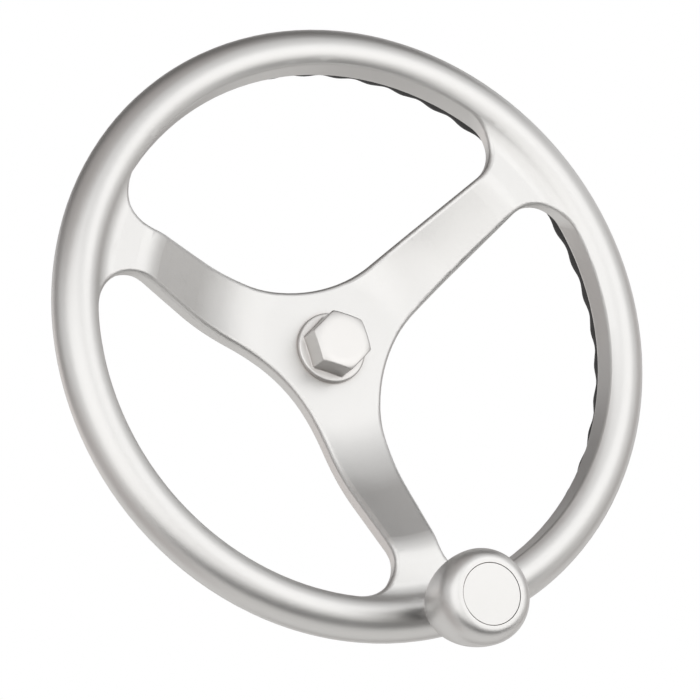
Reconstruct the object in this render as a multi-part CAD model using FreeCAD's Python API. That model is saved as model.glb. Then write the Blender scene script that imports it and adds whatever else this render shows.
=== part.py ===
import FreeCAD, Part
import math
import os

# Steering wheel of a power boat with a spinner knob, in millimetres.
# The wheel stands upright, its shaft axis lies along Y and its front looks toward -Y.
# The origin is on the shaft axis at the hub's rear face, where the helm shaft enters.
# One spoke points straight down, and the knob stands on the rim at its end.

# Rim
wheel_diameter = 330.2
rim_section_diameter = 25.0
inner_lip_setback = 3.5
outer_lip_setback = 6.0
channel_section_diameter = 17.0
rim_blend_radius = 14.0
window_rim_inset = 11.3
window_rim_draft = 10.8

# Spokes and hub plate
spoke_count = 3
plate_thickness = 9.5
dish_depth = 29.1
dish_face_radius = 38.0
dish_angle = 32.5
shoulder_bend_radius = 25.0
shoulder_flat = 11.5
spoke_inner_station = 60.0
spoke_inner_half_width = 16.64
spoke_outer_station = 115.0
spoke_outer_half_width = 13.5
hub_window_radius = 82.7
window_back_corner_radius = 17.0
window_front_corner_radius = 24.0
window_corner_span = 24.0
front_edge_radius = 2.4
back_edge_radius = 1.5

# Hub boss and shaft seat: 3/4 inch taper, 1 in 12 on the diameter, with a 3/16 inch key
hub_length = 30.0
hub_boss_diameter = 42.0
hub_boss_fillet = 6.0
hub_boss_edge_radius = 1.5
shaft_diameter = 19.05
shaft_taper = 12.0
shaft_mouth_chamfer = 0.6
key_width = 4.8
key_depth = 2.4

# Finger grip
grip_fit = 0.04
grip_inset = 0.6
ridge_count = 48
ridge_width = 17.2
ridge_setback = 17.35
valley_width = 16.0
valley_setback = 15.75
sections_per_ridge = 6

# Cap nut: 5/8-18 thread, 1 1/8 inch across flats
nut_flange_diameter = 37.6
nut_flange_height = 3.2
nut_flange_rim = 2.7
nut_flange_edge = 1.0
nut_across_flats = 28.6
nut_hex_height = 14.3
nut_corner_radius = 0.9
nut_top_flat_diameter = 20.0
nut_top_fall = 2.0
nut_thread_radius = 7.34
nut_thread_depth = 14.0
nut_thread_point = 1.2
nut_mouth_chamfer = 0.8
nut_turn = 32.0

# Knob axis, from the middle of the rim's section
knob_tilt = 6.0
knob_boss_diameter = 16.0
knob_boss_height = 17.0
knob_boss_root = 2.0
knob_boss_chamfer = 0.6
knob_boss_fillet = 1.5
stud_thread_diameter = 10.0
stud_thread_length = 7.2
stud_hole_depth = 7.6
thread_fit = 0.03

# Spindle of the knob
lock_washer_thickness = 2.0
lock_washer_diameter = 15.6
lock_washer_slot = 1.6
collar_across_flats = 17.0
collar_height = 5.5
collar_chamfer = 0.8
shoulder_diameter = 15.0
shoulder_height = 6.4
spindle_diameter = 10.0
spindle_recess = 0.3

# Ball bearings, 10 x 26 x 8
bearing_outer_diameter = 26.0
bearing_width = 8.0
ball_diameter = 4.76
ball_count = 7
ball_gap = 0.1
inner_race_diameter = 14.8
outer_race_bore = 21.2
race_fit = 0.02
cage_wall = 1.5
cage_back = 0.7
cage_horn = 1.0
shield_seat_diameter = 22.4
shield_seat_depth = 0.6
shield_thickness = 0.4
bearing_spacing = 6.0
spacer_diameter = 14.0

# Fastening on top of the spindle
retaining_washer_diameter = 17.0
retaining_washer_thickness = 1.6
screw_diameter = 5.0
screw_length = 12.0
screw_hole_depth = 14.0
screw_head_diameter = 9.4
screw_head_height = 2.8
screw_socket_flats = 3.0
screw_socket_depth = 1.6

# Knob shell and cap
knob_diameter = 49.6
knob_height = 42.5
knob_base_diameter = 35.2
knob_base_edge = 0.8
knob_widest_height = 31.5
knob_top_flat_diameter = 35.0
shell_mouth_lip = 1.0
shell_stop = 1.4
circlip_thickness = 1.2
circlip_groove_depth = 0.9
circlip_width = 1.9
circlip_opening = 34.0
circlip_fit = 0.05
cap_diameter = 32.0
cap_gap = 0.18
cap_thickness = 3.2
cap_edge = 0.3
spigot_diameter = 28.4
spigot_length = 4.4
spigot_hollow_diameter = 20.0
seal_section = 1.6
seal_ledge = 0.9

# Dust seal on the spindle's shoulder
dust_seal_height = 2.0
dust_seal_entry = 0.7
running_gap = 0.4

vector = FreeCAD.Vector
origin = vector(0, 0, 0)
shaft_axis = vector(0, 1, 0)
knob_axis = vector(0, 0, 1)

rim_radius = rim_section_diameter / 2
rim_pitch_radius = wheel_diameter / 2 - rim_radius
rim_ahead = hub_length + dish_depth
channel_radius = channel_section_diameter / 2
window_rim_radius = rim_pitch_radius - window_rim_inset
flat_ahead = plate_thickness - inner_lip_setback
rim_wall_slope = math.tan(math.radians(window_rim_draft))

# Heights along the knob axis
collar_base = knob_boss_height + lock_washer_thickness
collar_top = collar_base + collar_height
lower_bearing_base = collar_top + shoulder_height
upper_bearing_base = lower_bearing_base + bearing_width + bearing_spacing
spindle_top = upper_bearing_base + bearing_width
washer_top = spindle_top + retaining_washer_thickness
circlip_base = lower_bearing_base - circlip_thickness - circlip_fit
knob_base = circlip_base - circlip_fit - shell_mouth_lip
knob_top = knob_base + knob_height
cap_seat = knob_top - cap_thickness
ball_pitch_radius = (inner_race_diameter + outer_race_bore) / 4


def polar(centre, radius, degrees):
    angle = math.radians(degrees)
    return (centre[0] + radius * math.cos(angle), centre[1] + radius * math.sin(angle))


# Radius from the shaft axis, and distance ahead of the rim's middle plane
def wheel_section(point):
    return vector(point[0], -rim_ahead - point[1], 0)


# Radius from the knob axis, and height along it
def knob_section(point):
    return vector(point[0], 0, point[1])


# A flat outline of lines and arcs, drawn in its own two coordinates and placed by a function
class Outline:
    def __init__(self, place, start):
        self.place = place
        self.start = start
        self.here = start
        self.edges = []

    def line(self, *ends):
        for end in ends:
            self.edges.append(Part.LineSegment(self.place(self.here), self.place(end)).toShape())
            self.here = end
        return self

    def through(self, middle, end):
        arc = Part.Arc(self.place(self.here), self.place(middle), self.place(end))
        self.edges.append(arc.toShape())
        self.here = end
        return self

    def arc(self, centre, radius, first, last):
        return self.through(polar(centre, radius, (first + last) / 2), polar(centre, radius, last))

    # Quarter of an ellipse, whose longer half-axis runs from the centre to the end
    def quarter_ellipse(self, centre, end):
        ellipse = Part.Ellipse(self.place(end), self.place(self.here), self.place(centre))
        self.edges.append(Part.ArcOfEllipse(ellipse, 0, math.pi / 2).toShape())
        self.here = end
        return self

    def wire(self):
        if math.dist(self.here, self.start) > Part.Precision.confusion():
            self.line(self.start)
        return Part.Wire(Part.sortEdges(self.edges)[0])

    def face(self):
        return Part.Face(self.wire())


def turned_on_shaft(outline):
    return outline.face().revolve(origin, shaft_axis, 360)


def turned_on_knob(outline):
    return outline.face().revolve(origin, knob_axis, 360)


def ring_on_knob(inner, outer, low, high):
    return turned_on_knob(Outline(knob_section, (inner, low)).line((outer, low), (outer, high), (inner, high)))


def hexagonal_prism(across_flats, height, turn=0):
    corner = across_flats / 2 / math.cos(math.pi / 6)
    points = [vector(*polar((0, 0), corner, turn + 60 * side), 0) for side in range(7)]
    return Part.Face(Part.makePolygon(points)).extrude(vector(0, 0, height))


# Puts a piece made about its own Z axis on the tilted knob axis
def on_knob_axis(shape):
    tilt = math.radians(knob_tilt)
    turn = FreeCAD.Rotation(vector(0, 0, 1), vector(0, -math.cos(tilt), -math.sin(tilt)))
    placed = shape.copy()
    placed.Placement = FreeCAD.Placement(vector(0, -rim_ahead, -rim_pitch_radius), turn)
    return placed


# Puts a piece made about its own Z axis on the front face of the hub
def on_hub_face(shape):
    placed = shape.copy()
    placed.Placement = FreeCAD.Placement(vector(0, -hub_length, 0), FreeCAD.Rotation(vector(1, 0, 0), 90))
    return placed


# Radius of the bend at the hub that leads into the straight slope and on into the shoulder's bend
def dish_bend(span, rise):
    slope = math.radians(dish_angle)
    fall = 1 - math.cos(slope)
    straight_span = span - shoulder_bend_radius * math.sin(slope)
    straight_rise = rise - shoulder_bend_radius * fall
    return (straight_span * math.sin(slope) - straight_rise * math.cos(slope)) / fall


# Rim, dished plate and hub boss as one turned section
def casting_blank():
    hub_face = -dish_depth
    blend_height = flat_ahead + rim_blend_radius
    blend_span = math.sqrt((rim_radius + rim_blend_radius) ** 2 - blend_height ** 2)
    blend_centre = (rim_pitch_radius - blend_span, blend_height)
    blend_angle = -math.degrees(math.atan2(blend_height, blend_span))
    shoulder_centre = (blend_centre[0] - shoulder_flat, flat_ahead - shoulder_bend_radius)
    dish_bend_radius = dish_bend(shoulder_centre[0] - dish_face_radius, flat_ahead - hub_face)
    dish_centre = (dish_face_radius, hub_face + dish_bend_radius)
    shoulder_back_radius = shoulder_bend_radius - plate_thickness
    dish_back_radius = dish_bend_radius + plate_thickness
    rim_centre = (rim_pitch_radius, 0)
    lip_angle = math.degrees(math.asin(outer_lip_setback / rim_radius))
    outer_mouth_angle = math.degrees(math.asin(outer_lip_setback / channel_radius))
    inner_mouth_angle = math.degrees(math.asin(inner_lip_setback / channel_radius))
    plate_back = hub_face - plate_thickness
    hub_rear = hub_face - hub_length
    boss_radius = hub_boss_diameter / 2
    fillet_centre = (boss_radius + hub_boss_fillet, plate_back - hub_boss_fillet)
    edge_centre = (boss_radius - hub_boss_edge_radius, hub_rear + hub_boss_edge_radius)

    section = Outline(wheel_section, (0, hub_face))
    section.line((dish_face_radius, hub_face))
    section.arc(dish_centre, dish_bend_radius, -90, dish_angle - 90)
    section.line(polar(shoulder_centre, shoulder_bend_radius, 90 + dish_angle))
    section.arc(shoulder_centre, shoulder_bend_radius, 90 + dish_angle, 90)
    section.line((blend_centre[0], flat_ahead))
    section.arc(blend_centre, rim_blend_radius, -90, blend_angle)
    section.arc(rim_centre, rim_radius, 180 + blend_angle, -lip_angle)
    section.line(polar(rim_centre, channel_radius, -outer_mouth_angle))
    section.arc(rim_centre, channel_radius, -outer_mouth_angle, 180 + inner_mouth_angle)
    section.line((shoulder_centre[0], -inner_lip_setback))
    section.arc(shoulder_centre, shoulder_back_radius, 90, 90 + dish_angle)
    section.line(polar(dish_centre, dish_back_radius, dish_angle - 90))
    section.arc(dish_centre, dish_back_radius, dish_angle - 90, -90)
    section.line((fillet_centre[0], plate_back))
    section.arc(fillet_centre, hub_boss_fillet, 90, 180)
    section.line((boss_radius, edge_centre[1]))
    section.arc(edge_centre, hub_boss_edge_radius, 0, -90)
    section.line((0, hub_rear))
    return turned_on_shaft(section)


# Outline of the window above the hub: hub arc, two spoke edges, two corner arcs and the rim's arc.
# It is worked out along and across the spoke to its right, then turned and mirrored.
def window_wire(rim_arc_radius, corner_radius, ahead):
    half = math.pi / spoke_count
    taper = (spoke_outer_half_width - spoke_inner_half_width) / (spoke_outer_station - spoke_inner_station)
    stretch = math.hypot(1, taper)
    offset = spoke_inner_half_width - spoke_inner_station * taper
    hub_distance = (hub_window_radius * stretch + offset) / (math.sin(half) - taper * math.cos(half))
    hub_centre = (hub_distance * math.cos(half), hub_distance * math.sin(half))
    reach = rim_arc_radius - corner_radius
    rise = offset + corner_radius * stretch
    along = (math.sqrt(stretch ** 2 * reach ** 2 - rise ** 2) - taper * rise) / stretch ** 2
    corner_centre = (along, taper * along + rise)
    spoke_side = math.degrees(math.atan2(-1, taper))
    rim_side = math.degrees(math.atan2(corner_centre[1], corner_centre[0]))
    hub_touch = polar(hub_centre, hub_window_radius, spoke_side)
    edge_touch = polar(corner_centre, corner_radius, spoke_side)
    corner_middle = polar(corner_centre, corner_radius, (spoke_side + rim_side) / 2)
    rim_touch = polar((0, 0), rim_arc_radius, rim_side)
    rim_middle = polar((0, 0), rim_arc_radius, (rim_side + window_corner_span) / 2)
    rim_end = polar((0, 0), rim_arc_radius, window_corner_span)

    def place(point):
        return vector(point[0], -rim_ahead - ahead, point[1])

    def right(point):
        side = point[0] * math.sin(half) - point[1] * math.cos(half)
        return (side, point[0] * math.cos(half) + point[1] * math.sin(half))

    def left(point):
        side, up = right(point)
        return (-side, up)

    outline = Outline(place, right(hub_touch))
    outline.line(right(edge_touch))
    outline.through(right(corner_middle), right(rim_touch))
    outline.through(right(rim_middle), right(rim_end))
    outline.through((0, rim_arc_radius), left(rim_end))
    outline.through(left(rim_middle), left(rim_touch))
    outline.through(left(corner_middle), left(edge_touch))
    outline.line(left(hub_touch))
    outline.through((0, hub_distance - hub_window_radius), right(hub_touch))
    return outline.wire()


# The rim's wall leans outward toward the front, and the plate's walls below it are straight
def window_cutters():
    front_radius = window_rim_radius + (rim_radius + inner_lip_setback) * rim_wall_slope
    back_wire = window_wire(window_rim_radius, window_back_corner_radius, -inner_lip_setback)
    front_wire = window_wire(front_radius, window_front_corner_radius, rim_radius)
    leaning = Part.makeLoft([back_wire, front_wire], True, True)
    straight = Part.Face(back_wire).extrude(vector(0, dish_depth + plate_thickness, 0))
    return [leaning, straight]


# Edges where the windows' walls meet the front of the plate and rim, or their back
def window_edges(body, front):
    inside = hub_boss_diameter / 2 + hub_boss_fillet
    outside = window_rim_radius + rim_radius * rim_wall_slope
    chosen = []
    for edge in body.Edges:
        middle = edge.valueAt((edge.FirstParameter + edge.LastParameter) / 2)
        if not inside < math.hypot(middle.x, middle.z) < outside:
            continue
        walls = 0
        facing = []
        for face in body.ancestorsOfType(edge, Part.Face):
            normal = face.normalAt(*face.Surface.parameter(middle))
            if abs(normal.y) < math.sin(math.radians(2 * window_rim_draft)):
                walls += 1
            else:
                facing.append(normal.y)
        if walls == 1 and len(facing) == 1 and (facing[0] < 0) == front:
            chosen.append(edge)
    return chosen


# Tapered shaft seat with its keyway on top
def shaft_seat():
    rear_radius = shaft_diameter / 2
    front_radius = rear_radius - hub_length / shaft_taper / 2
    slope = math.degrees(math.atan(1 / shaft_taper / 2))
    seat = Outline(wheel_section, (0, -dish_depth))
    seat.line((front_radius, -dish_depth))
    seat.line((rear_radius - shaft_mouth_chamfer / shaft_taper / 2, shaft_mouth_chamfer - rim_ahead))
    seat.line((rear_radius + shaft_mouth_chamfer, -rim_ahead), (0, -rim_ahead))
    keyway = Part.makeBox(key_width, 3 * hub_length, rear_radius)
    keyway.translate(vector(-key_width / 2, -2 * hub_length, key_depth))
    keyway.rotate(vector(0, 0, rear_radius + key_depth), vector(1, 0, 0), slope)
    return [turned_on_shaft(seat), keyway]


# Boss on the rim's crown for the knob, blended into the crown and hollow where the channel passes
def with_knob_boss(body):
    radius = knob_boss_diameter / 2
    boss = Outline(knob_section, (0, knob_boss_root)).line((radius, knob_boss_root))
    boss.line((radius, knob_boss_height - knob_boss_chamfer), (radius - knob_boss_chamfer, knob_boss_height))
    boss.line((0, knob_boss_height))
    channel = Part.makeTorus(rim_pitch_radius, channel_radius, vector(0, -rim_ahead, 0), shaft_axis)
    joined = body.fuse(on_knob_axis(turned_on_knob(boss)).cut(channel))
    creases = []
    for edge in joined.Edges:
        surfaces = [face.Surface for face in joined.ancestorsOfType(edge, Part.Face)]
        walls = [item for item in surfaces if isinstance(item, Part.Cylinder) and math.isclose(item.Radius, radius)]
        crowns = [item for item in surfaces if isinstance(item, Part.Toroid) and item.MinorRadius > channel_radius]
        if walls and crowns:
            creases.append(edge)
    blended = joined.makeFillet(knob_boss_fillet, creases)
    hole = ring_on_knob(0, stud_thread_diameter / 2 + thread_fit, knob_boss_height - stud_hole_depth, knob_top)
    return blended.cut(on_knob_axis(hole))


def wheel_casting():
    body = casting_blank()
    cutters = []
    for number in range(spoke_count):
        for cutter in window_cutters():
            cutter.rotate(origin, shaft_axis, 360 / spoke_count * number)
            cutters.append(cutter)
    body = body.cut(cutters)
    body = body.makeFillet(front_edge_radius, window_edges(body, True))
    body = body.makeFillet(back_edge_radius, window_edges(body, False))
    body = body.cut(shaft_seat())
    return with_knob_boss(body)


# Section of the grip behind the rim's lips, from a valley (swell 0) to a ridge (swell 1)
def grip_wire(swell):
    half_width = (valley_width + (ridge_width - valley_width) * swell) / 2
    setback = valley_setback + (ridge_setback - valley_setback) * swell
    middle = rim_pitch_radius - grip_inset
    inner_seat = -inner_lip_setback - grip_fit
    outer_seat = -outer_lip_setback - grip_fit
    wire = Outline(wheel_section, (middle - half_width, inner_seat))
    wire.line((middle - half_width, half_width - setback))
    wire.through((middle, -setback), (middle + half_width, half_width - setback))
    wire.line((middle + half_width, outer_seat), (middle, outer_seat), (middle, inner_seat))
    return wire.wire()


# Rubber ring in the rim's channel, swelling into a ridge between each two fingers
def finger_grip():
    pitch = 360 / ridge_count
    sections = []
    for number in range(sections_per_ridge + 1):
        turn = pitch * (number / sections_per_ridge - 0.5)
        section = grip_wire(math.cos(math.pi * turn / pitch) ** 2)
        section.rotate(origin, shaft_axis, turn)
        sections.append(section)
    ridge = Part.makeLoft(sections, True)
    ridges = []
    for number in range(ridge_count):
        turned = ridge.copy()
        turned.rotate(origin, shaft_axis, pitch * number)
        ridges.append(turned)
    core = Part.makeTorus(rim_pitch_radius, channel_radius - grip_fit, vector(0, -rim_ahead, 0), shaft_axis)
    return core.fuse(ridges)


# Flanged cap nut with a blind thread, whose top falls away toward its corners
def hub_nut():
    flange_radius = nut_flange_diameter / 2
    corner_radius = nut_across_flats / 2 / math.cos(math.pi / 6)
    top = nut_flange_height + nut_hex_height
    rounding = (flange_radius - nut_flange_edge, nut_flange_rim - nut_flange_edge)
    flange = Outline(knob_section, (0, 0))
    flange.line((flange_radius, 0), (flange_radius, rounding[1]))
    flange.arc(rounding, nut_flange_edge, 0, 90)
    flange.line((nut_across_flats / 2, nut_flange_height), (0, nut_flange_height))
    hexagon = hexagonal_prism(nut_across_flats, top, nut_turn)
    upright = [edge for edge in hexagon.Edges if abs(edge.tangentAt(0).z) > 0.5]
    hexagon = hexagon.makeFillet(nut_corner_radius, upright)
    top_flat = nut_top_flat_diameter / 2
    envelope = Outline(knob_section, (0, 0)).line((0, top), (top_flat, top))
    envelope.quarter_ellipse((top_flat, top - nut_top_fall), (corner_radius, top - nut_top_fall))
    envelope.line((corner_radius, 0))
    thread = Outline(knob_section, (0, 0)).line((nut_thread_radius + nut_mouth_chamfer, 0))
    thread.line((nut_thread_radius, nut_mouth_chamfer), (nut_thread_radius, nut_thread_depth))
    thread.line((0, nut_thread_depth + nut_thread_point))
    nut = turned_on_knob(flange).fuse(hexagon.common(turned_on_knob(envelope)))
    return on_hub_face(nut.cut(turned_on_knob(thread)))


# Spindle: thread in the rim's boss, hexagonal collar, shoulder, bearing journal and a tapped end
def knob_stud():
    thread_radius = stud_thread_diameter / 2
    shoulder_radius = shoulder_diameter / 2
    journal_radius = spindle_diameter / 2
    journal_top = spindle_top - spindle_recess
    profile = Outline(knob_section, (0, knob_boss_height - stud_thread_length))
    profile.line((thread_radius - collar_chamfer, knob_boss_height - stud_thread_length))
    profile.line((thread_radius, knob_boss_height - stud_thread_length + collar_chamfer))
    profile.line((thread_radius, collar_top - collar_height / 2), (shoulder_radius, collar_top - collar_height / 2))
    profile.line((shoulder_radius, lower_bearing_base), (journal_radius, lower_bearing_base))
    profile.line((journal_radius, journal_top), (0, journal_top))
    corner_radius = collar_across_flats / 2 / math.cos(math.pi / 6)
    collar = hexagonal_prism(collar_across_flats, collar_height)
    collar.translate(vector(0, 0, collar_base))
    rounding = Outline(knob_section, (0, collar_base)).line((corner_radius - collar_chamfer, collar_base))
    rounding.line((corner_radius, collar_base + collar_chamfer), (corner_radius, collar_top - collar_chamfer))
    rounding.line((corner_radius - collar_chamfer, collar_top), (0, collar_top))
    stud = turned_on_knob(profile).fuse(collar.common(turned_on_knob(rounding)))
    hole = ring_on_knob(0, screw_diameter / 2 + thread_fit, journal_top - screw_hole_depth, spindle_top)
    return stud.cut(hole)


def stud_lock_washer():
    outer = lock_washer_diameter / 2
    washer = ring_on_knob(stud_thread_diameter / 2 + running_gap, outer, knob_boss_height, collar_base)
    slot = Part.makeBox(lock_washer_slot, 2 * outer, 2 * lock_washer_diameter)
    slot.translate(vector(-lock_washer_slot / 2, 0, knob_boss_height - lock_washer_diameter))
    slot.rotate(vector(0, 0, (knob_boss_height + collar_base) / 2), vector(0, 1, 0), 30)
    return washer.cut(slot)


# Inner ring of a bearing, with the groove that the balls run in
def inner_race(base):
    groove_radius = ball_diameter / 2 + ball_gap
    middle = base + bearing_width / 2
    bore = spindle_diameter / 2 + race_fit
    ring = ring_on_knob(bore, inner_race_diameter / 2, base, base + bearing_width)
    return ring.cut(Part.makeTorus(ball_pitch_radius, groove_radius, vector(0, 0, middle)))


# Outer ring of a bearing, with a step at each end for its shield
def outer_race(base):
    groove_radius = ball_diameter / 2 + ball_gap
    seat = shield_seat_diameter / 2
    bore = outer_race_bore / 2
    outer = bearing_outer_diameter / 2
    top = base + bearing_width
    section = Outline(knob_section, (seat, base)).line((outer, base), (outer, top), (seat, top))
    section.line((seat, top - shield_seat_depth), (bore, top - shield_seat_depth))
    section.line((bore, base + shield_seat_depth), (seat, base + shield_seat_depth))
    groove = Part.makeTorus(ball_pitch_radius, groove_radius, vector(0, 0, base + bearing_width / 2))
    return turned_on_knob(section).cut(groove)


def around_bearing(shape):
    copies = []
    for number in range(ball_count):
        copy = shape.copy()
        copy.rotate(origin, knob_axis, 360 / ball_count * number)
        copies.append(copy)
    return copies


def balls(base):
    ball = Part.makeSphere(ball_diameter / 2, vector(ball_pitch_radius, 0, base + bearing_width / 2))
    return Part.makeCompound(around_bearing(ball))


# Crown cage: a ring behind the balls whose pockets are open at the top
def cage(base):
    middle = base + bearing_width / 2
    pocket_radius = ball_diameter / 2 + ball_gap
    low = middle - ball_diameter / 2 - cage_back
    ring = ring_on_knob(
        ball_pitch_radius - cage_wall / 2, ball_pitch_radius + cage_wall / 2, low, middle + cage_horn
    )
    pocket = Part.makeSphere(pocket_radius, vector(ball_pitch_radius, 0, middle))
    return ring.cut(around_bearing(pocket))


def shields(base):
    inner = inner_race_diameter / 2 + running_gap
    outer = shield_seat_diameter / 2 - race_fit
    low = base + shield_seat_depth - shield_thickness
    high = base + bearing_width - shield_seat_depth
    discs = [ring_on_knob(inner, outer, start, start + shield_thickness) for start in (low, high)]
    return Part.makeCompound(discs)


def bearing_spacer():
    low = lower_bearing_base + bearing_width
    return ring_on_knob(spindle_diameter / 2 + race_fit, spacer_diameter / 2, low, upper_bearing_base)


def retaining_washer():
    return ring_on_knob(screw_diameter / 2 + race_fit, retaining_washer_diameter / 2, spindle_top, washer_top)


# Button head screw with a hexagonal socket
def retaining_screw():
    shank_radius = screw_diameter / 2
    head_radius = screw_head_diameter / 2
    top = washer_top + screw_head_height
    profile = Outline(knob_section, (0, washer_top - screw_length))
    profile.line((shank_radius, washer_top - screw_length), (shank_radius, washer_top))
    profile.line((head_radius, washer_top), (head_radius, washer_top + screw_head_height / 4))
    profile.through((head_radius * 0.8, top - screw_head_height / 4), (screw_socket_flats * 0.8, top))
    profile.line((0, top))
    socket = hexagonal_prism(screw_socket_flats, screw_head_height)
    socket.translate(vector(0, 0, top - screw_socket_depth))
    return turned_on_knob(profile).cut(socket)


# Seal pressed on the spindle's shoulder, closing the shell's mouth with a running gap
def dust_seal():
    low = knob_base + dust_seal_entry - dust_seal_height
    outer = bearing_outer_diameter / 2 - running_gap
    return ring_on_knob(shoulder_diameter / 2, outer, low, low + dust_seal_height)


# Waisted shell with a bearing pocket at each end of its bore, a circlip groove and a recess for the cap
def knob_shell():
    widest = (knob_diameter / 2, knob_base + knob_widest_height)
    base_radius = knob_base_diameter / 2
    base_corner = (base_radius, knob_base + knob_base_edge)
    reach = widest[0] - base_corner[0]
    rise = widest[1] - base_corner[1]
    side_radius = (reach ** 2 + rise ** 2) / reach / 2
    side_centre = (widest[0] - side_radius, widest[1])
    side_angle = -math.degrees(math.asin(rise / side_radius))
    flat_radius = knob_top_flat_diameter / 2
    pocket = bearing_outer_diameter / 2
    stop = pocket - shell_stop
    groove = pocket + circlip_groove_depth
    groove_top = lower_bearing_base
    groove_base = circlip_base - circlip_fit
    ledge = spigot_diameter / 2
    recess = cap_diameter / 2 + cap_gap
    spigot_base = cap_seat - spigot_length - running_gap
    section = Outline(knob_section, (pocket, knob_base))
    section.line((base_radius - knob_base_edge, knob_base), base_corner)
    section.arc(side_centre, side_radius, side_angle, 0)
    section.quarter_ellipse((flat_radius, widest[1]), (flat_radius, knob_top))
    section.line((recess, knob_top), (recess, cap_seat), (ledge, cap_seat), (ledge, spigot_base))
    section.line((pocket, spigot_base), (pocket, upper_bearing_base), (stop, upper_bearing_base))
    section.line((stop, lower_bearing_base + bearing_width), (pocket, lower_bearing_base + bearing_width))
    section.line((pocket, groove_top), (groove, groove_top), (groove, groove_base), (pocket, groove_base))
    return turned_on_knob(section)


# Flush disc with a hollow spigot and a groove for its O-ring
def knob_cap():
    radius = cap_diameter / 2
    spigot = spigot_diameter / 2 - race_fit
    groove = spigot - seal_section
    low = cap_seat - spigot_length
    groove_low = low + seal_ledge
    groove_high = groove_low + seal_section + 2 * race_fit
    hollow = spigot_hollow_diameter / 2
    section = Outline(knob_section, (0, knob_top)).line((radius - cap_edge, knob_top), (radius, knob_top - cap_edge))
    section.line((radius, cap_seat), (spigot, cap_seat), (spigot, groove_high), (groove, groove_high))
    section.line((groove, groove_low), (spigot, groove_low), (spigot, low), (hollow, low))
    section.line((hollow, cap_seat), (0, cap_seat))
    return turned_on_knob(section)


def cap_seal():
    radius = seal_section / 2
    middle = cap_seat - spigot_length + seal_ledge + radius + race_fit
    return Part.makeTorus(spigot_diameter / 2 - race_fit - radius, radius, vector(0, 0, middle))


# Retaining ring in the shell's groove, with its ends apart
def base_circlip():
    outer = bearing_outer_diameter / 2 + circlip_groove_depth - circlip_fit
    inner = outer - circlip_width
    ring = ring_on_knob(inner, outer, circlip_base, circlip_base + circlip_thickness)
    wedge = Part.makeCylinder(knob_diameter, knob_height, vector(0, 0, knob_base), knob_axis, circlip_opening)
    return ring.cut(wedge)


knob_pieces = {
    "knob_stud": knob_stud(),
    "stud_lock_washer": stud_lock_washer(),
    "dust_seal": dust_seal(),
    "bearing_spacer": bearing_spacer(),
    "retaining_washer": retaining_washer(),
    "retaining_screw": retaining_screw(),
    "knob_shell": knob_shell(),
    "knob_cap": knob_cap(),
    "cap_seal": cap_seal(),
    "base_circlip": base_circlip(),
}
for level, base in (("lower", lower_bearing_base), ("upper", upper_bearing_base)):
    knob_pieces[level + "_inner_race"] = inner_race(base)
    knob_pieces[level + "_outer_race"] = outer_race(base)
    knob_pieces[level + "_balls"] = balls(base)
    knob_pieces[level + "_cage"] = cage(base)
    knob_pieces[level + "_shields"] = shields(base)

parts = {
    "wheel_casting": wheel_casting(),
    "finger_grip": finger_grip(),
    "hub_nut": hub_nut(),
}
for name, piece in knob_pieces.items():
    parts[name] = on_knob_axis(piece)

os.makedirs("parts", exist_ok=True)
for name, shape in parts.items():
    shape.exportStep("parts/" + name + ".step")
    print(name, len(shape.Solids), round(shape.Volume / 1000, 2), shape.isValid())
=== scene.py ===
import math

import bmesh
import bpy
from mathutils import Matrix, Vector

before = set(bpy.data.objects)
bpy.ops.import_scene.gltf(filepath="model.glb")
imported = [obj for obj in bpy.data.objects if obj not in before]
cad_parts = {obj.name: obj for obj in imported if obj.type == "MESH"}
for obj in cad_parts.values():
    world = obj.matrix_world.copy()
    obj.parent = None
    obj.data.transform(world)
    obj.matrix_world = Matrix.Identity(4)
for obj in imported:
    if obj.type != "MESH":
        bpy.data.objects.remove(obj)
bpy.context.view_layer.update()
print("wheel loaded,", len(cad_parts), "pieces")

mixSockets = {"factor": 0, "low": 6, "high": 7, "colour": 2}  # the Mix node's sockets for colours
probeRays = {"edge": 6, "paintedShade": 8, "round": 8}  # rays that feel for nearby faces
noiseMiddle = 0.5
fullMetal = 1.0
white = (1.0, 1.0, 1.0, 1.0)
whiteLevel = 1.0  # light of this strength shows as white


# A node's output that can stand in a sum; each operation adds its Math node
class Wire:
    def __init__(self, graph, socket):
        self.graph = graph
        self.socket = socket

    def maths(self, operation, first, second):
        return self.graph.node("ShaderNodeMath", {"operation": operation}, {0: first, 1: second})

    def __add__(self, other):
        return self.maths("ADD", self, other)

    def __radd__(self, other):
        return self.maths("ADD", other, self)

    def __sub__(self, other):
        return self.maths("SUBTRACT", self, other)

    def __rsub__(self, other):
        return self.maths("SUBTRACT", other, self)

    def __mul__(self, other):
        return self.maths("MULTIPLY", self, other)

    def __rmul__(self, other):
        return self.maths("MULTIPLY", other, self)

    def __pow__(self, other):
        return self.maths("POWER", self, other)

    def clamped(self):
        return self.graph.node("ShaderNodeClamp", {}, {"Value": self})


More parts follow.
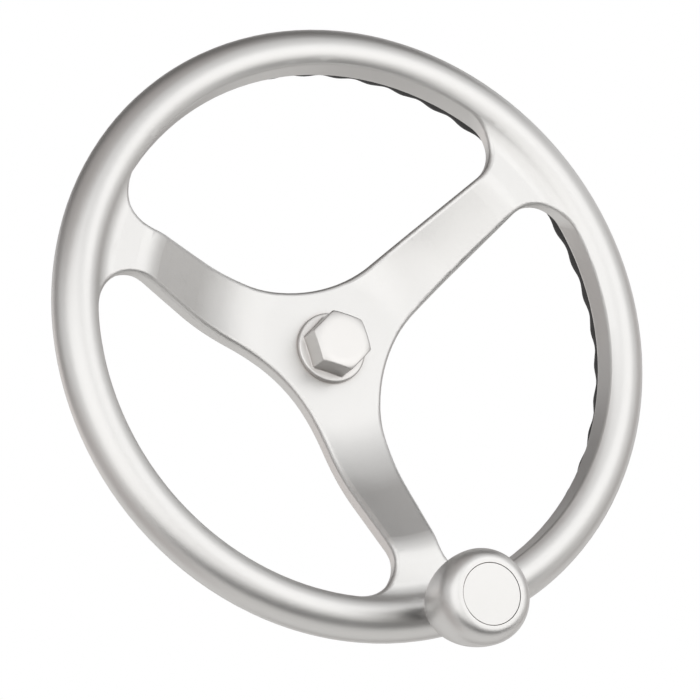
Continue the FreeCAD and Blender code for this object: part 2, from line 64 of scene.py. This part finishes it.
class Graph:
    def __init__(self, tree):
        self.tree = tree

    # any node: its type, its settings, what goes into its sockets, and which output is used
    def node(self, kind, settings, inputs, output=0):
        made = self.tree.nodes.new(kind)
        for name, value in settings.items():
            setattr(made, name, value)
        for key, value in inputs.items():
            self.feed(made, key, value)
        return Wire(self, made.outputs[output])

    def feed(self, made, key, value):
        if isinstance(value, Wire):
            self.tree.links.new(value.socket, made.inputs[key])
        else:
            made.inputs[key].default_value = value

    def place(self):
        return self.node("ShaderNodeTexCoord", {}, {}, "Object")

    def noise(self, scale, detail, where=None):
        inputs = {"Vector": where or self.place(), "Scale": scale, "Detail": detail}
        return self.node("ShaderNodeTexNoise", {}, inputs)

    # low is a colour or another blend, high is a colour
    def blendColour(self, factor, low, high):
        inputs = {
            mixSockets["factor"]: factor,
            mixSockets["low"]: (*low, 1) if isinstance(low, tuple) else low,
            mixSockets["high"]: (*high, 1),
        }
        return self.node("ShaderNodeMix", {"data_type": "RGBA"}, inputs, mixSockets["colour"])

    # 1 for rays of the kinds that are named, else 0
    def rays(self, *kinds):
        return sum(self.node("ShaderNodeLightPath", {}, {}, kind) for kind in kinds).clamped()

    # the surface's direction as if its edges were rounded
    def rounded(self, radius, samples):
        return self.node("ShaderNodeBevel", {"samples": samples}, {"Radius": radius})

    # 0 on open faces, up to 1 along an outer edge
    def edge(self, radius, gain):
        soft = self.rounded(radius, probeRays["edge"])
        sharp = self.node("ShaderNodeNewGeometry", {}, {}, "Normal")
        match = self.node("ShaderNodeVectorMath", {"operation": "DOT_PRODUCT"}, {0: soft, 1: sharp}, "Value")
        return ((1 - match) * gain).clamped()

    # painted shade: 0 on open faces, up to 1 deep in a crevice or corner, where shade falls
    def creviceShade(self, reach, fall, depth):
        settings = {"samples": probeRays["paintedShade"], "only_local": False}
        openness = self.node("ShaderNodeAmbientOcclusion", settings, {"Distance": reach}, "AO")
        return ((1 - openness) ** fall * depth).clamped()


def newMaterial(name):
    material = bpy.data.materials.new(name)
    material.use_nodes = True
    graph = Graph(material.node_tree)
    return material, graph, material.node_tree.nodes["Principled BSDF"]


def cover(nodeName, material):
    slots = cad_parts[nodeName].data.materials
    slots.clear()
    slots.append(material)


# fine blasted stainless of the casting and the knob, with painted shade darkening its crevices toward a warm
# brown;
# a noise is a scale and a detail, an edge a radius and a gain, a painted crevice shade a reach, a fall and a
# depth
satin = {
    "light": (0.607, 0.601, 0.591), "dull": (0.557, 0.551, 0.541),
    "wornColour": (0.68, 0.67, 0.66), "paintedShadeColour": (0.26, 0.215, 0.19),
    "cloud": (28.0, 3.0), "speck": (1700.0, 2.0), "grain": (5200.0, 1.0), "rub": (160.0, 4.0),
    "edge": (0.0009, 3.0), "paintedShade": (0.004, 1.6, 1.1),
    "rubLeast": 0.6, "rubRise": 0.8, "speckTone": 0.4, "edgeTone": 0.5,
    "roughness": 0.40, "roughCloud": 0.08, "roughSpeck": 0.1, "roughWorn": 0.08,
    "grainHeight": 0.4, "bump": 0.12, "bumpDepth": 0.0002,
    "cornerRadius": 0.0,
}


def satinSteel(name, look):
    material, graph, shader = newMaterial(name)
    cloud = graph.noise(*look["cloud"])
    speck = graph.noise(*look["speck"])
    grain = graph.noise(*look["grain"])
    edgeMask = graph.edge(*look["edge"]) * (look["rubLeast"] + look["rubRise"] * graph.noise(*look["rub"]))
    shade = (cloud * (1 - look["speckTone"]) + speck * look["speckTone"]).clamped()
    colour = graph.blendColour(shade, look["dull"], look["light"])
    colour = graph.blendColour((edgeMask * look["edgeTone"]).clamped(), colour, look["wornColour"])
    # painted shade: crevices and corners darkened toward a warm brown
    colour = graph.blendColour(graph.creviceShade(*look["paintedShade"]), colour, look["paintedShadeColour"])
    graph.feed(shader, "Base Color", colour)
    drift = (cloud - noiseMiddle) * look["roughCloud"] + (speck - noiseMiddle) * look["roughSpeck"]
    graph.feed(shader, "Roughness", look["roughness"] + drift - edgeMask * look["roughWorn"])
    height = speck * (1 - look["grainHeight"]) + grain * look["grainHeight"]
    relief = {"Strength": look["bump"], "Distance": look["bumpDepth"], "Height": height}
    if look["cornerRadius"]:
        relief["Normal"] = graph.rounded(look["cornerRadius"], probeRays["round"])
    graph.feed(shader, "Normal", graph.node("ShaderNodeBump", {}, relief))
    shader.inputs["Metallic"].default_value = fullMetal
    return material


castFinish = satinSteel("castSatin", satin)
for nodeName in ("wheel_casting", "knob_shell", "knob_cap"):
    cover(nodeName, castFinish)

# the nut has the same finish, a little lighter and warmer, with rounder corners
nut = {**satin, "light": (0.622, 0.611, 0.598), "dull": (0.578, 0.566, 0.553), "cornerRadius": 0.0014}
cover("hub_nut", satinSteel("nutSatin", nut))
print("stainless done")


# turned and ground steel inside and under the knob
turned = {
    "light": (0.62, 0.62, 0.61), "dark": (0.50, 0.50, 0.50),
    "lines": (3800.0, 2.0), "lineStretch": (0.04, 1.0, 0.04), "cloud": (90.0, 3.0), "edge": (0.0004, 2.5),
    "cloudTone": 0.3,
    "roughness": 0.24, "roughLines": 0.12, "roughCloud": 0.06, "roughWorn": 0.05,
    "bump": 0.08, "bumpDepth": 0.0001,
}


def turnedSteel(name, look):
    material, graph, shader = newMaterial(name)
    place = graph.place()
    stretch = {0: place, 1: look["lineStretch"]}
    streaks = graph.node("ShaderNodeVectorMath", {"operation": "MULTIPLY"}, stretch)
    lines = graph.noise(*look["lines"], streaks)
    cloud = graph.noise(*look["cloud"], place)
    edgeMask = graph.edge(*look["edge"])
    shade = (lines * (1 - look["cloudTone"]) + cloud * look["cloudTone"]).clamped()
    graph.feed(shader, "Base Color", graph.blendColour(shade, look["dark"], look["light"]))
    drift = lines * look["roughLines"] + cloud * look["roughCloud"]
    graph.feed(shader, "Roughness", look["roughness"] + drift - edgeMask * look["roughWorn"])
    relief = {"Strength": look["bump"], "Distance": look["bumpDepth"], "Height": lines}
    graph.feed(shader, "Normal", graph.node("ShaderNodeBump", {}, relief))
    shader.inputs["Metallic"].default_value = fullMetal
    return material


spindleFinish = turnedSteel("spindleSteel", turned)
bearingFinish = turnedSteel("bearingSteel", {**turned, "light": (0.56, 0.56, 0.58), "roughness": 0.16})
fastenerFinish = turnedSteel("fastenerSteel", {**turned, "dark": (0.42, 0.42, 0.43), "roughness": 0.3})
cover("knob_stud", spindleFinish)
for nodeName in ("stud_lock_washer", "retaining_washer", "retaining_screw", "base_circlip", "bearing_spacer"):
    cover(nodeName, fastenerFinish)
for level in ("lower", "upper"):
    for piece in ("inner_race", "outer_race", "balls", "cage", "shields"):
        cover(level + "_" + piece, bearingFinish)
print("knob's inner steel done")


# moulded rubber of the grip and the seals, with dust in random patches and painted sheen greying its edges
rubber = {
    "base": (0.012, 0.012, 0.0125), "dustAndSheenColour": (0.035, 0.034, 0.033),
    "stipple": 1400.0, "cloud": (45.0, 4.0), "edge": (0.0012, 2.0),
    "cloudTone": 0.5, "edgeTone": 0.6,
    "roughness": 0.55, "roughCloud": 0.15, "roughWorn": 0.1, "gloss": 0.4,
    "bump": 0.35, "bumpDepth": 0.00015,
}


def mouldedRubber(name, look):
    material, graph, shader = newMaterial(name)
    place = graph.place()
    spots = {"Vector": place, "Scale": look["stipple"]}
    stipple = graph.node("ShaderNodeTexVoronoi", {"feature": "F1"}, spots)
    cloud = graph.noise(*look["cloud"], place)
    edgeMask = graph.edge(*look["edge"])
    # dust in random patches, plus painted sheen: the edges greyed as if they catch the light
    dustAndSheenMask = (cloud * look["cloudTone"] + edgeMask * look["edgeTone"]).clamped()
    graph.feed(shader, "Base Color", graph.blendColour(dustAndSheenMask, look["base"], look["dustAndSheenColour"]))
    roughness = look["roughness"] + cloud * look["roughCloud"] - edgeMask * look["roughWorn"]
    graph.feed(shader, "Roughness", roughness)
    relief = {"Strength": look["bump"], "Distance": look["bumpDepth"], "Height": stipple}
    graph.feed(shader, "Normal", graph.node("ShaderNodeBump", {}, relief))
    shader.inputs["Specular IOR Level"].default_value = look["gloss"]
    return material


sealFinish = mouldedRubber("sealRubber", {**rubber, "roughness": 0.4, "stipple": 2600.0})
cover("finger_grip", mouldedRubber("gripRubber", rubber))
cover("dust_seal", sealFinish)
cover("cap_seal", sealFinish)
print("rubber done")


# camera at the photograph's angle: metres, degrees, and millimetres for the lens and its sensor
lensView = {
    "place": (-1.361250, -2.708630, -0.586777), "turn": (101.39325, 15.24961, -24.08995),
    "lens": 302.05, "sensor": 36.0, "near": 0.1, "far": 100.0,
}
cameraData = bpy.data.cameras.new("camera")
cameraData.sensor_width = lensView["sensor"]
cameraData.lens = lensView["lens"]
cameraData.clip_start = lensView["near"]
cameraData.clip_end = lensView["far"]
camera = bpy.data.objects.new("camera", cameraData)
camera.location = lensView["place"]
camera.rotation_euler = [math.radians(angle) for angle in lensView["turn"]]
bpy.context.scene.collection.objects.link(camera)
bpy.context.scene.camera = camera

# studio: white all round, two soft boxes, grey cards that the metal mirrors, and a pale floor;
# every direction is in the camera's own space: right, up and back toward it
studio = {
    "aim": Vector((0.0, -0.059, -0.02)),
    "ambient": 0.5,
    "boxes": {
        "frontBox": {"toward": (-0.21, 0.19, 0.96), "away": 2.2, "size": (2.7, 2.9), "watts": 20.0},
        "sideBox": {"toward": (0.74, 0.34, 0.58), "away": 1.9, "size": (1.7, 1.7), "watts": 8.2},
    },
    "cards": {
        "upperCard": {"toward": (-0.48, 0.87, -0.11), "away": 2.0, "size": (3.4, 2.9), "grey": 0.49},
        "topCard": {"toward": (-0.16, 0.82, -0.55), "away": 1.7, "size": (3.8, 1.3), "grey": 0.13},
        "leftCard": {"toward": (-0.95, 0.10, -0.22), "away": 1.7, "size": (0.9, 1.8), "grey": 0.30},
        "lowLeftCard": {"toward": (-0.80, -0.57, 0.19), "away": 1.3, "size": (0.9, 1.4), "grey": 0.62},
        "lowCard": {"toward": (0.34, -0.60, 0.72), "away": 1.0, "size": (2.3, 0.50), "grey": 0.05},
        "footCard": {"toward": (0.20, -0.80, -0.56), "away": 1.2, "size": (1.3, 0.3), "grey": 0.40},
        "rightCard": {"toward": (0.90, -0.05, -0.43), "away": 1.8, "size": (0.8, 2.1), "grey": 0.55},
        "backCard": {"toward": (-0.02, 0.03, -1.0), "away": 1.5, "size": (1.5, 1.5), "grey": 0.40},
        "glowCard": {"toward": (-0.79, -0.19, -0.59), "away": 1.2, "size": (0.5, 0.6), "grey": 1.2},
    },
    "shadingCards": ("lowCard",),  # the others let the lamps' light through
    "cardTint": (1.05, 0.99, 0.965), "cardRoughness": 0.9,
}

cameraTurn = camera.rotation_euler.to_matrix()


# a lamp or card that faces the wheel and stays out of the picture
def aimed(item, toward, away):
    heading = (cameraTurn @ Vector(toward)).normalized()
    item.location = studio["aim"] + heading * away
    item.rotation_euler = heading.to_track_quat("Z", "Y").to_euler()
    item.visible_camera = False
    bpy.context.scene.collection.objects.link(item)


# a flat sheet round its own middle; the grid's size is half its width
def flatSheet(name, width, depth, cells, material):
    grid = bmesh.new()
    bmesh.ops.create_grid(grid, x_segments=cells, y_segments=cells, size=width / 2)
    bmesh.ops.scale(grid, vec=(1, depth / width, 1), verts=grid.verts)
    mesh = bpy.data.meshes.new(name)
    grid.to_mesh(mesh)
    grid.free()
    mesh.materials.append(material)
    return bpy.data.objects.new(name, mesh)


for boxName, box in studio["boxes"].items():
    boxData = bpy.data.lights.new(boxName, "AREA")
    boxData.shape = "RECTANGLE"
    boxData.size, boxData.size_y = box["size"]
    boxData.energy = box["watts"]
    aimed(bpy.data.objects.new(boxName, boxData), box["toward"], box["away"])

for cardName, card in studio["cards"].items():
    cardMaterial, cardGraph, cardShader = newMaterial(cardName)
    cardColour = [card["grey"] * tint for tint in studio["cardTint"]]
    cardShader.inputs["Base Color"].default_value = (0, 0, 0, 1)
    cardShader.inputs["Roughness"].default_value = studio["cardRoughness"]
    cardShader.inputs["Emission Color"].default_value = (*cardColour, 1)
    cardShader.inputs["Emission Strength"].default_value = whiteLevel
    cardObject = flatSheet(cardName, *card["size"], 1, cardMaterial)
    cardObject.visible_shadow = cardName in studio["shadingCards"]
    aimed(cardObject, card["toward"], card["away"])

world = bpy.data.worlds.new("studio")
bpy.context.scene.world = world
world.use_nodes = True
world.node_tree.nodes.clear()
air = Graph(world.node_tree)
dimSky = air.node("ShaderNodeBackground", {}, {"Color": white, "Strength": studio["ambient"]})
brightSky = air.node("ShaderNodeBackground", {}, {"Color": white, "Strength": whiteLevel})
seen = air.rays("Is Camera Ray", "Is Glossy Ray", "Is Transmission Ray")
sky = air.node("ShaderNodeMixShader", {}, {0: seen, 1: dimSky, 2: brightSky})
worldOut = world.node_tree.nodes.new("ShaderNodeOutputWorld")
air.feed(worldOut, "Surface", sky)

# pale floor, well below the wheel
ground = {
    "height": -1.5, "width": 60.0, "cells": 8,
    "pale": (0.86, 0.85, 0.84), "duller": (0.84, 0.84, 0.83), "cloud": (1.5, 2.0), "roughness": 0.8,
    "glow": (1.0, 0.99, 0.975, 1.0), "cameraGlow": 0.8,  # how much of the glow the camera sees
}
floorMaterial, floorGraph, floorShader = newMaterial("floor")
floorColour = floorGraph.blendColour(floorGraph.noise(*ground["cloud"]), ground["duller"], ground["pale"])
floorGraph.feed(floorShader, "Base Color", floorColour)
floorShader.inputs["Roughness"].default_value = ground["roughness"]
floorLit = Wire(floorGraph, floorShader.outputs[0])
floorGlow = floorGraph.node("ShaderNodeEmission", {}, {"Color": ground["glow"], "Strength": whiteLevel})
cameraShare = floorGraph.rays("Is Camera Ray") * ground["cameraGlow"]
mirrorShare = floorGraph.rays("Is Glossy Ray", "Is Transmission Ray")
shares = {0: cameraShare + mirrorShare, 1: floorLit, 2: floorGlow}
floorMix = floorGraph.node("ShaderNodeMixShader", {}, shares)
floorGraph.feed(floorMaterial.node_tree.nodes["Material Output"], "Surface", floorMix)
floor = flatSheet("floor", ground["width"], ground["width"], ground["cells"], floorMaterial)
floor.location = (0, 0, ground["height"])
bpy.context.scene.collection.objects.link(floor)

bpy.context.scene.view_settings.view_transform = "Standard"
print("studio done")
